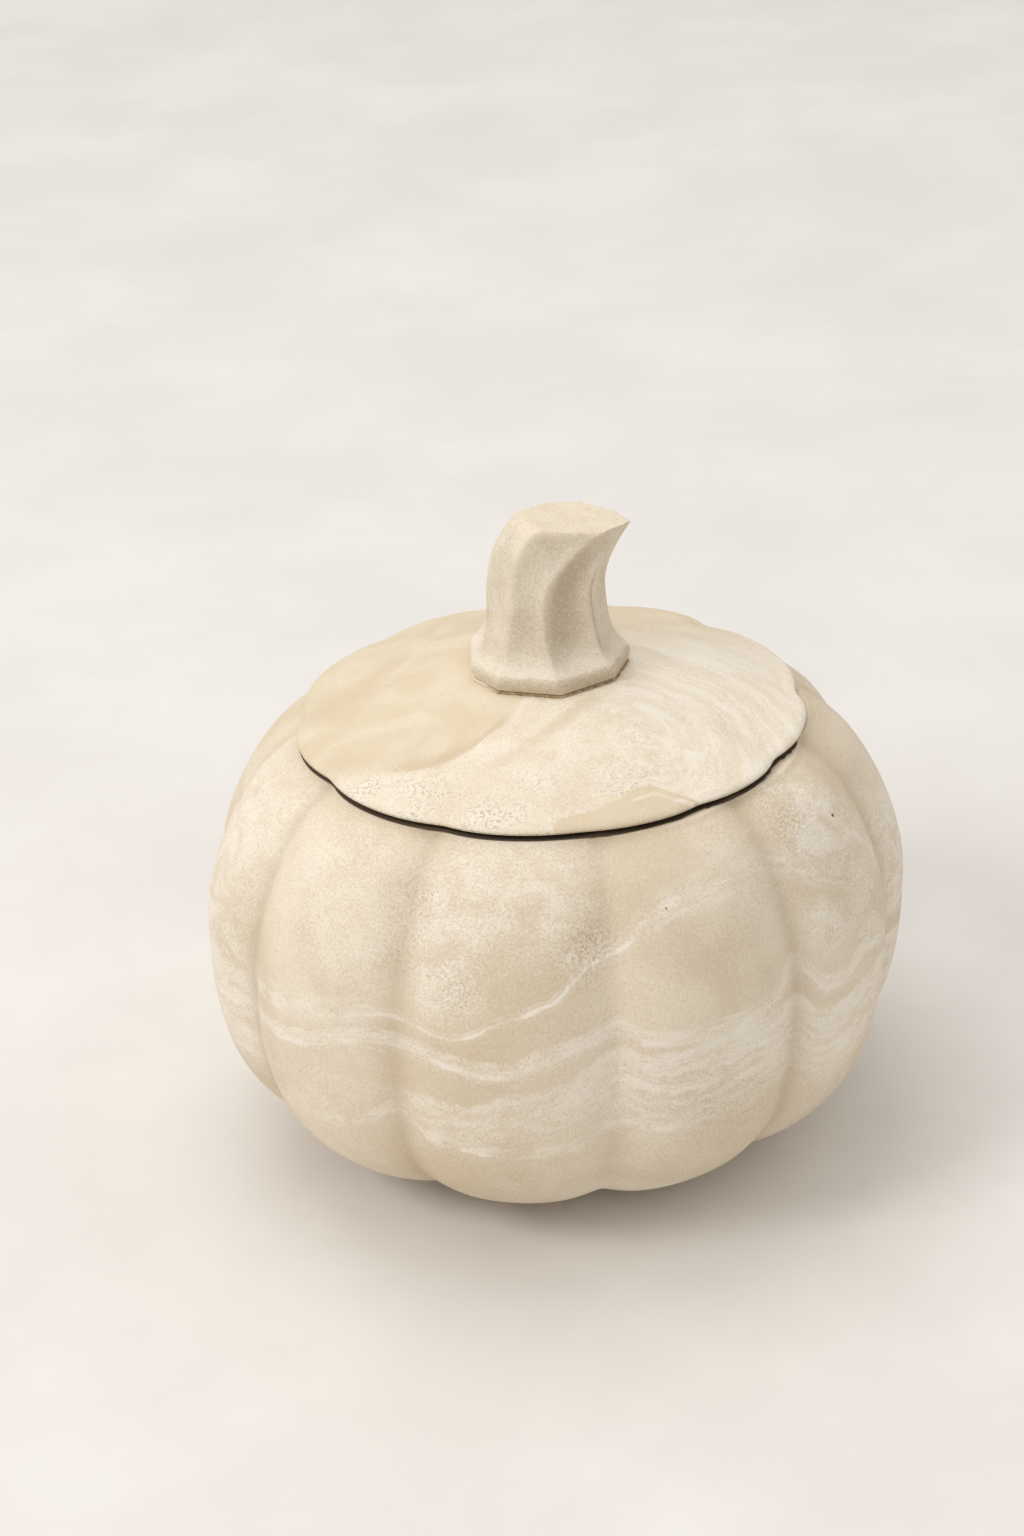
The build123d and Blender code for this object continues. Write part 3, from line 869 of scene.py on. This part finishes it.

    # Brown grit in a few frosted places, pinholes left by air, and painted shade deep in the grooves
    dark_zone = s.most(*[
        s.times(s.spot(on_jar(angle, height), radius * MM, softness=0.8), strength)
        for angle, height, radius, strength in DARK_GRIT
    ])
    specks = s.ramp(s.noise(0.75 * MM, 1.0), 0.50, 0.60)
    colour = s.mix(s.times(dark_zone, specks, 0.45), colour, GRIT_BROWN)
    pores = s.most(*[s.spot(on_jar(angle, height), 0.42 * MM, softness=0.35) for angle, height in PORES])
    crevice = s.mark("crevice")
    # Painted shade in the grooves, faint just right of the front and stronger towards the sides
    groove_shade = s.ramp(s.math("ABSOLUTE", s.minus(degrees, 10.0)), 8, 18, 0.04, 0.36)
    colour = s.mix(s.times(crevice, groove_shade), colour, s.mix(0.5, SHADE_BEIGE, GRIT_BROWN))
    colour = s.mix(s.times(pores, 0.85), colour, PORE_BROWN)

    # The seat under the lid is painted a darker raw brown, partly as painted shade under the lid, and the
    # joint at its edge gets a painted shadow
    across = s.minus(x, lid_centre.x)
    reach = s.times(s.math("SQRT", s.add(s.times(across, across), s.times(y, y))), 1 / MM)
    rim = rim_z / MM
    seat = s.times(s.ramp(millimetres, rim - 0.5, rim - 0.05), s.ramp(reach, 57.5, 58.5, 1.0, 0.0))
    colour = s.mix(s.times(seat, 0.8), colour, s.mix(s.ramp(grit, -0.6, 0.6), RAW_SEAT_AND_SHADE, SHADE_BEIGE))
    # Painted shadow in the gap under the lid's edge: near-black, and with almost no gloss
    painted_gap_shadow = s.ramp(s.add(s.mark("under_lid"), s.times(grit, 0.10)), 0.15, 0.75)
    colour = s.mix(s.times(painted_gap_shadow, 0.90), colour, PAINTED_GAP_SHADOW)
    specular = s.ramp(painted_gap_shadow, 0.0, 1.0, 0.35, 0.02)

    relief = s.add(s.times(grain, 0.85), s.times(s.clamp(white), 0.30), s.times(s.noise(3.5 * MM, 3.0), 0.5),
                   s.times(dark_zone, specks, -0.6), s.times(pores, -3.0))
    roughness = s.ramp(s.add(cloud, s.times(grit, 0.06)), 0.3, 0.7, 0.56, 0.74)
    return s.finish(colour, roughness, s.bump(relief, PIT_DEPTH), specular)


def lid_material():
    s = Shade("lid_marbled_stone")
    x, y, _ = s.axes()
    across = s.minus(x, lid_centre.x)
    angle = s.math("ARCTAN2", across, s.times(y, -1.0))
    radius = s.math("SQRT", s.add(s.times(across, across), s.times(y, y)))
    reach = s.times(radius, 1 / MM)
    grain = s.noise(0.55 * MM, 2.0, 0.55)
    grit = s.centred(grain, 2.2)
    cloud = s.noise(20 * MM, 4.0, 0.55, distortion=0.8)

    degrees = s.times(angle, 180 / pi)
    around = s.add(s.times(degrees, 1 / 360), 0.5)
    ragged = s.centred(s.noise(11 * MM, 4.0, 0.6), 9.0)
    fine_ragged = s.centred(s.noise(2.6 * MM, 3.0, 0.6), 1.6)

    def radius_line(points):
        """A line round the lid: millimetres from its centre at each angle."""
        return s.times(s.curve(around, [((a + 180) / 360, r / 100) for a, r in points]), 100.0)

    # Brushed strokes on the right
    brush_x, brush_y = s.minus(x, BRUSH_CENTRE[0] * MM), s.minus(y, BRUSH_CENTRE[1] * MM)
    stroke = s.math("SQRT", s.add(s.times(brush_x, brush_x), s.times(brush_y, brush_y)))
    sweep = s.math("ARCTAN2", brush_y, s.times(brush_x, -1.0))
    stroke = s.add(stroke, s.centred(s.noise(26 * MM, 2.0), 7 * MM))
    stroke = s.add(stroke, s.centred(s.noise(5 * MM, 2.0), 0.7 * MM))
    swirl = s.noise(1.0, 3.0, 0.6, s.combine(s.times(stroke, 1 / (5.0 * MM)), s.times(sweep, 0.8), 0.0))
    fine_swirl = s.noise(1.0, 3.0, 0.6, s.combine(s.times(stroke, 1 / (1.3 * MM)), s.times(sweep, 1.5), 4.0))
    streaks = s.ramp(s.add(swirl, s.times(fine_swirl, 0.45), s.times(grit, 0.02)), 0.58, 0.90)

    # Plain beige on the left, frosted in front and along the left-front edge, brushed on the right
    left_line = s.add(radius_line(LID_PLAIN_EDGE), ragged, fine_ragged)
    beyond = s.add(s.minus(reach, left_line), s.times(ragged, s.ramp(degrees, -40, -26, 0.8, 0.0)))
    frosted = s.times(s.ramp(beyond, -4.0, 7.0), s.ramp(s.add(degrees, ragged), 14, 52, 1.0, 0.0))
    brushed = s.times(s.ramp(s.add(degrees, ragged), 0, 34), s.ramp(degrees, 95, 158, 1.0, 0.0))
    bloom = s.ramp(s.add(s.noise(12 * MM, 4.0, 0.55), s.times(grit, 0.02)), 0.34, 0.64, 0.36, 0.77)
    white = s.most(
        s.times(frosted, bloom, s.add(s.times(streaks, 0.18), 0.82)),
        s.times(brushed, s.add(s.times(streaks, 0.54), 0.44)),
    )
    white = s.add(white, s.times(s.ramp(cloud, 0.50, 0.75), 0.10))

    # A beige crescent reaches in from the front-right edge, with a few white lines drawn through it
    depth = s.add(s.minus(reach, radius_line(LID_CRESCENT)), s.times(fine_ragged, 0.5))
    crescent = s.ramp(depth, -0.4, 0.7)
    drawn = s.noise(1.0, 2.0, 0.5, s.combine(s.times(depth, 0.55), s.times(degrees, 0.05), 7.0))
    lines = s.times(s.ramp(drawn, 0.56, 0.66), s.ramp(degrees, 9, 15))
    white = s.times(white, s.minus(1.0, s.times(crescent, s.minus(0.94, s.times(lines, 0.65)))))
    open_grain = s.times(white, s.minus(1.15, white))
    white = s.add(white, s.times(grit, s.add(s.times(open_grain, 0.85), 0.05)))

    # The fold on the left front is painted darker: a beige tone, and painted shade along the fold
    fold = s.ramp(s.add(s.minus(reach, radius_line(LID_FOLD)), s.times(fine_ragged, 0.6)), -6.0, 0.5)
    fold = s.times(fold, s.ramp(s.minus(reach, radius_line(LID_FOLD)), 0.8, 2.6, 1.0, 0.0),
                   s.ramp(degrees, -52, -42), s.ramp(degrees, -24, -18, 1.0, 0.0))

    # A soft beige sweep crosses the frost in front
    uneven = s.add(s.times(ragged, 0.2), s.times(fine_ragged, 0.6))
    from_sweep = s.add(s.minus(reach, radius_line(LID_SWEEP)), uneven)
    swept = s.times(s.ramp(s.math("ABSOLUTE", from_sweep), 0.4, 3.6, 1.0, 0.0),
                    s.ramp(degrees, -24, -14), s.ramp(degrees, 22, 40, 1.0, 0.0))
    white = s.times(white, s.minus(1.0, s.times(swept, 0.75)))

    ground = s.mix(s.ramp(cloud, 0.35, 0.7), LID_BEIGE, LID_CREAM)
    ground = s.mix(s.times(fold, 0.65), ground, FOLD_BEIGE_AND_SHADE)
    ground = s.mix(s.ramp(grit, -1.1, 0.1, 0.28, 0.0), ground, SHADE_BEIGE)
    colour = s.mix(s.clamp(s.times(white, s.minus(1.0, s.times(fold, 0.7)))), ground, SOFT_WHITE)
    pits = s.times(s.ramp(s.noise(0.8 * MM, 3.0, 0.6), 0.55, 0.64), frosted, s.ramp(reach, 36, 52),
                   s.ramp(s.noise(12 * MM, 2.0), 0.40, 0.60), s.minus(1.0, crescent))
    colour = s.mix(s.times(pits, 0.30), colour, GRIT_BROWN)
    # Painted shade in the creases of the lid's scalloped edge
    crevice = s.mark("crevice")
    colour = s.mix(s.times(crevice, 0.30), colour, SHADE_BEIGE)
    pores = s.most(*[s.spot(Vector(place) * MM, size * MM, softness=0.35) for place, size in LID_PORES])
    colour = s.mix(s.times(pores, 0.85), colour, PORE_BROWN)

    # Surfaces facing down outside the flange are painted a darker raw brown: a raw underside, and painted
    # shade
    facing = s.axes(s.node("ShaderNodeTexCoord").outputs["Normal"])[2]
    under = s.times(s.ramp(facing, -0.75, -0.35, 1.0, 0.0), s.ramp(reach, 49, 51))
    colour = s.mix(s.times(under, 0.8), colour, s.mix(s.ramp(grit, -0.5, 0.5), RAW_SEAT_AND_SHADE, SHADE_BEIGE))

    relief = s.add(s.times(grain, 0.5), s.times(s.noise(3.0 * MM, 3.0), 0.4), s.times(pits, -0.9),
                   s.times(streaks, 0.35), s.times(pores, -3.0))
    return s.finish(colour, s.ramp(cloud, 0.3, 0.7, 0.52, 0.72), s.bump(relief, PIT_DEPTH))


def stem_material():
    s = Shade("stem_cast_stone")
    grain = s.noise(0.5 * MM, 2.0, 0.6)
    grit = s.centred(grain, 2.0)
    drawn = s.noise(3.2 * MM, 3.0, 0.5, s.scaled(1.0, 1.0, 0.22))
    cloud = s.noise(8 * MM, 3.0, 0.5)
    x, _, z = s.axes()
    height = s.times(s.minus(z, foot_z), 1 / MM)
    uneven = s.add(height, s.centred(s.noise(2.2 * MM, 2.0), 0.5))
    crevice = s.mark("crevice")

    colour = s.mix(s.ramp(cloud, 0.35, 0.68), linear(219, 206, 184), linear(231, 219, 199))
    colour = s.mix(s.ramp(drawn, 0.55, 0.30, 0.0, 0.22), colour, SHADE_BEIGE)
    # Painted shade in the flutes, and a darker seam line
    colour = s.mix(s.ramp(crevice, 0.05, 0.85, 0.0, 0.62), colour, linear(188, 169, 141))
    # Painted shade on the flange's side, weaker on the left where the light falls, and a painted highlight
    # along its upper edge
    flange_side_shade = s.times(s.ramp(uneven, 3.7, 4.3, 0.46, 0.0), s.ramp(x, -14 * MM, -8 * MM, 0.2, 1.0))
    colour = s.mix(flange_side_shade, colour, linear(190, 170, 138))
    edge_highlight = s.times(s.ramp(uneven, 3.5, 4.3), s.ramp(uneven, 5.0, 6.6, 1.0, 0.0))
    colour = s.mix(s.times(edge_highlight, 0.45), colour, linear(240, 230, 211))
    # Painted highlight over the stem's top
    colour = s.mix(s.ramp(height, 34.2, 36.2, 0.0, 0.55), colour, linear(233, 218, 192))
    colour = s.mix(s.ramp(grit, 0.0, 0.7, 0.0, 0.34), colour, CHALK)
    colour = s.mix(s.ramp(grit, -0.1, -0.7, 0.0, 0.30), colour, linear(182, 160, 128))
    pore = s.spot((6.0 * MM, -17.2 * MM, foot_z + 8.6 * MM), 0.7 * MM, softness=0.35)
    colour = s.mix(s.times(pore, 0.8), colour, PORE_BROWN)
    relief = s.add(s.times(grain, 1.0), s.times(drawn, 0.35), s.times(cloud, 0.5), s.times(pore, -2.0))
    return s.finish(colour, s.ramp(cloud, 0.3, 0.7, 0.60, 0.76), s.bump(relief, 0.13 * MM), 0.3)


def adhesive_material():
    s = Shade("cured_adhesive")
    lump = s.noise(1.1 * MM, 3.0, 0.6)
    x = s.axes()[0]
    # Whitish on the left, brown to the right: the adhesive's own tone, and painted shade in the crevice
    # under the stem's foot
    side = s.ramp(s.add(s.times(x, 1 / MM), s.centred(s.noise(3 * MM, 2.0), 5.0)), -16, -9)
    colour = s.mix(s.ramp(lump, 0.35, 0.65), linear(140, 114, 78), linear(190, 166, 130))
    colour = s.mix(side, linear(232, 221, 200), colour)
    return s.finish(colour, s.ramp(lump, 0.3, 0.7, 0.5, 0.8), s.bump(lump, 0.2 * MM), 0.3)


def felt_material():
    s = Shade("pressed_felt")
    fibres = s.noise(0.5 * MM, 4.0, 0.7, s.scaled(1.0, 1.0, 2.5))
    tufts = s.noise(3 * MM, 3.0, 0.6)
    colour = s.mix(s.ramp(fibres, 0.3, 0.7), linear(120, 112, 98), linear(168, 160, 145))
    colour = s.mix(s.ramp(tufts, 0.4, 0.7, 0.0, 0.4), colour, linear(142, 132, 116))
    s.surface.inputs["Sheen Weight"].default_value = 0.3
    return s.finish(colour, 0.95, s.bump(s.add(fibres, s.times(tufts, 0.5)), 0.25 * MM), 0.1)


# ---- studio
HORIZON_LIGHT, OVERHEAD_LIGHT = 0.47, 0.79
FLOOR_SIZE, FLOOR_STEPS = 3.2, 24
CAMERA_DISTANCE, CAMERA_CLIMB, CAMERA_ROLL = 0.9081, radians(29.6), radians(-2.9)


def build_floor():
    line = np.linspace(-FLOOR_SIZE, FLOOR_SIZE, FLOOR_STEPS + 1)
    points = [(x, y + FLOOR_SIZE / 4, 0.0) for y in line for x in line]
    row = len(line)
    faces = [
        (j * row + i, j * row + i + 1, (j + 1) * row + i + 1, (j + 1) * row + i)
        for j in range(FLOOR_STEPS) for i in range(FLOOR_STEPS)
    ]
    mesh = bpy.data.meshes.new("studio_floor")
    mesh.from_pydata(points, [], faces)
    floor = bpy.data.objects.new("studio_floor", mesh)
    bpy.context.scene.collection.objects.link(floor)
    s = Shade("pale_floor")
    cloud = s.noise(0.09, 4.0, 0.6)
    colour = s.mix(s.ramp(cloud, 0.35, 0.7), linear(229, 225, 220), linear(235, 232, 227))
    roughness = s.ramp(cloud, 0.3, 0.7, 0.38, 0.5)
    floor.data.materials.append(s.finish(colour, roughness, s.bump(cloud, 0.05 * MM), 0.3))


def aim(item, place, target, roll=0.0):
    """Puts a camera or light at a place, looking at a target."""
    turn = (Vector(target) - Vector(place)).to_track_quat("-Z", "Y").to_matrix().to_4x4()
    item.matrix_world = Matrix.Translation(place) @ turn @ Matrix.Rotation(roll, 4, "Z")
    bpy.context.scene.collection.objects.link(item)


def area_light(name, place, target, size, watts, colour):
    light = bpy.data.lights.new(name, "AREA")
    light.shape = "DISK"
    light.size = size
    light.energy = watts
    light.color = colour
    aim(bpy.data.objects.new(name, light), place, target)


def light_studio():
    middle = (0, 0, 0.07)
    area_light("key_softbox", (-1.50, -0.80, 1.50), middle, 0.8, 14.0, (1.0, 0.99, 0.984))
    area_light("top_softbox", (-0.3, 0.4, 1.6), middle, 1.2, 6.5, (1.0, 0.994, 0.984))

    # Surrounding light, dimmer near the horizon than overhead
    world = bpy.data.worlds.new("studio")
    bpy.context.scene.world = world
    world.use_nodes = True
    nodes, links = world.node_tree.nodes, world.node_tree.links
    place = nodes.new("ShaderNodeTexCoord")
    axes = nodes.new("ShaderNodeSeparateXYZ")
    climb = nodes.new("ShaderNodeMapRange")
    links.new(place.outputs["Generated"], axes.inputs[0])
    links.new(axes.outputs[2], climb.inputs["Value"])
    climb.inputs["From Min"].default_value = 0.0
    climb.inputs["From Max"].default_value = 0.6
    climb.inputs["To Min"].default_value = HORIZON_LIGHT
    climb.inputs["To Max"].default_value = OVERHEAD_LIGHT
    links.new(climb.outputs[0], nodes["Background"].inputs["Strength"])
    nodes["Background"].inputs["Color"].default_value = linear(252, 250, 248)


def place_camera():
    camera_data = bpy.data.cameras.new("camera")
    camera_data.lens = 86.7
    camera_data.sensor_width = 36.0
    camera_data.clip_start = 0.05
    camera = bpy.data.objects.new("camera", camera_data)
    place = (0, -CAMERA_DISTANCE * cos(CAMERA_CLIMB), 0.0552 + CAMERA_DISTANCE * sin(CAMERA_CLIMB))
    aim(camera, place, (-0.0092, 0.0157, 0.0842), CAMERA_ROLL)
    bpy.context.scene.camera = camera


# ---- the object
for build, material in (
    (build_jar, jar_material),
    (build_lid, lid_material),
    (build_stem, stem_material),
    (build_adhesive, adhesive_material),
    (build_felt, felt_material),
):
    build().data.materials.append(material())

build_floor()
light_studio()
place_camera()
bpy.context.scene.view_settings.view_transform = "Standard"
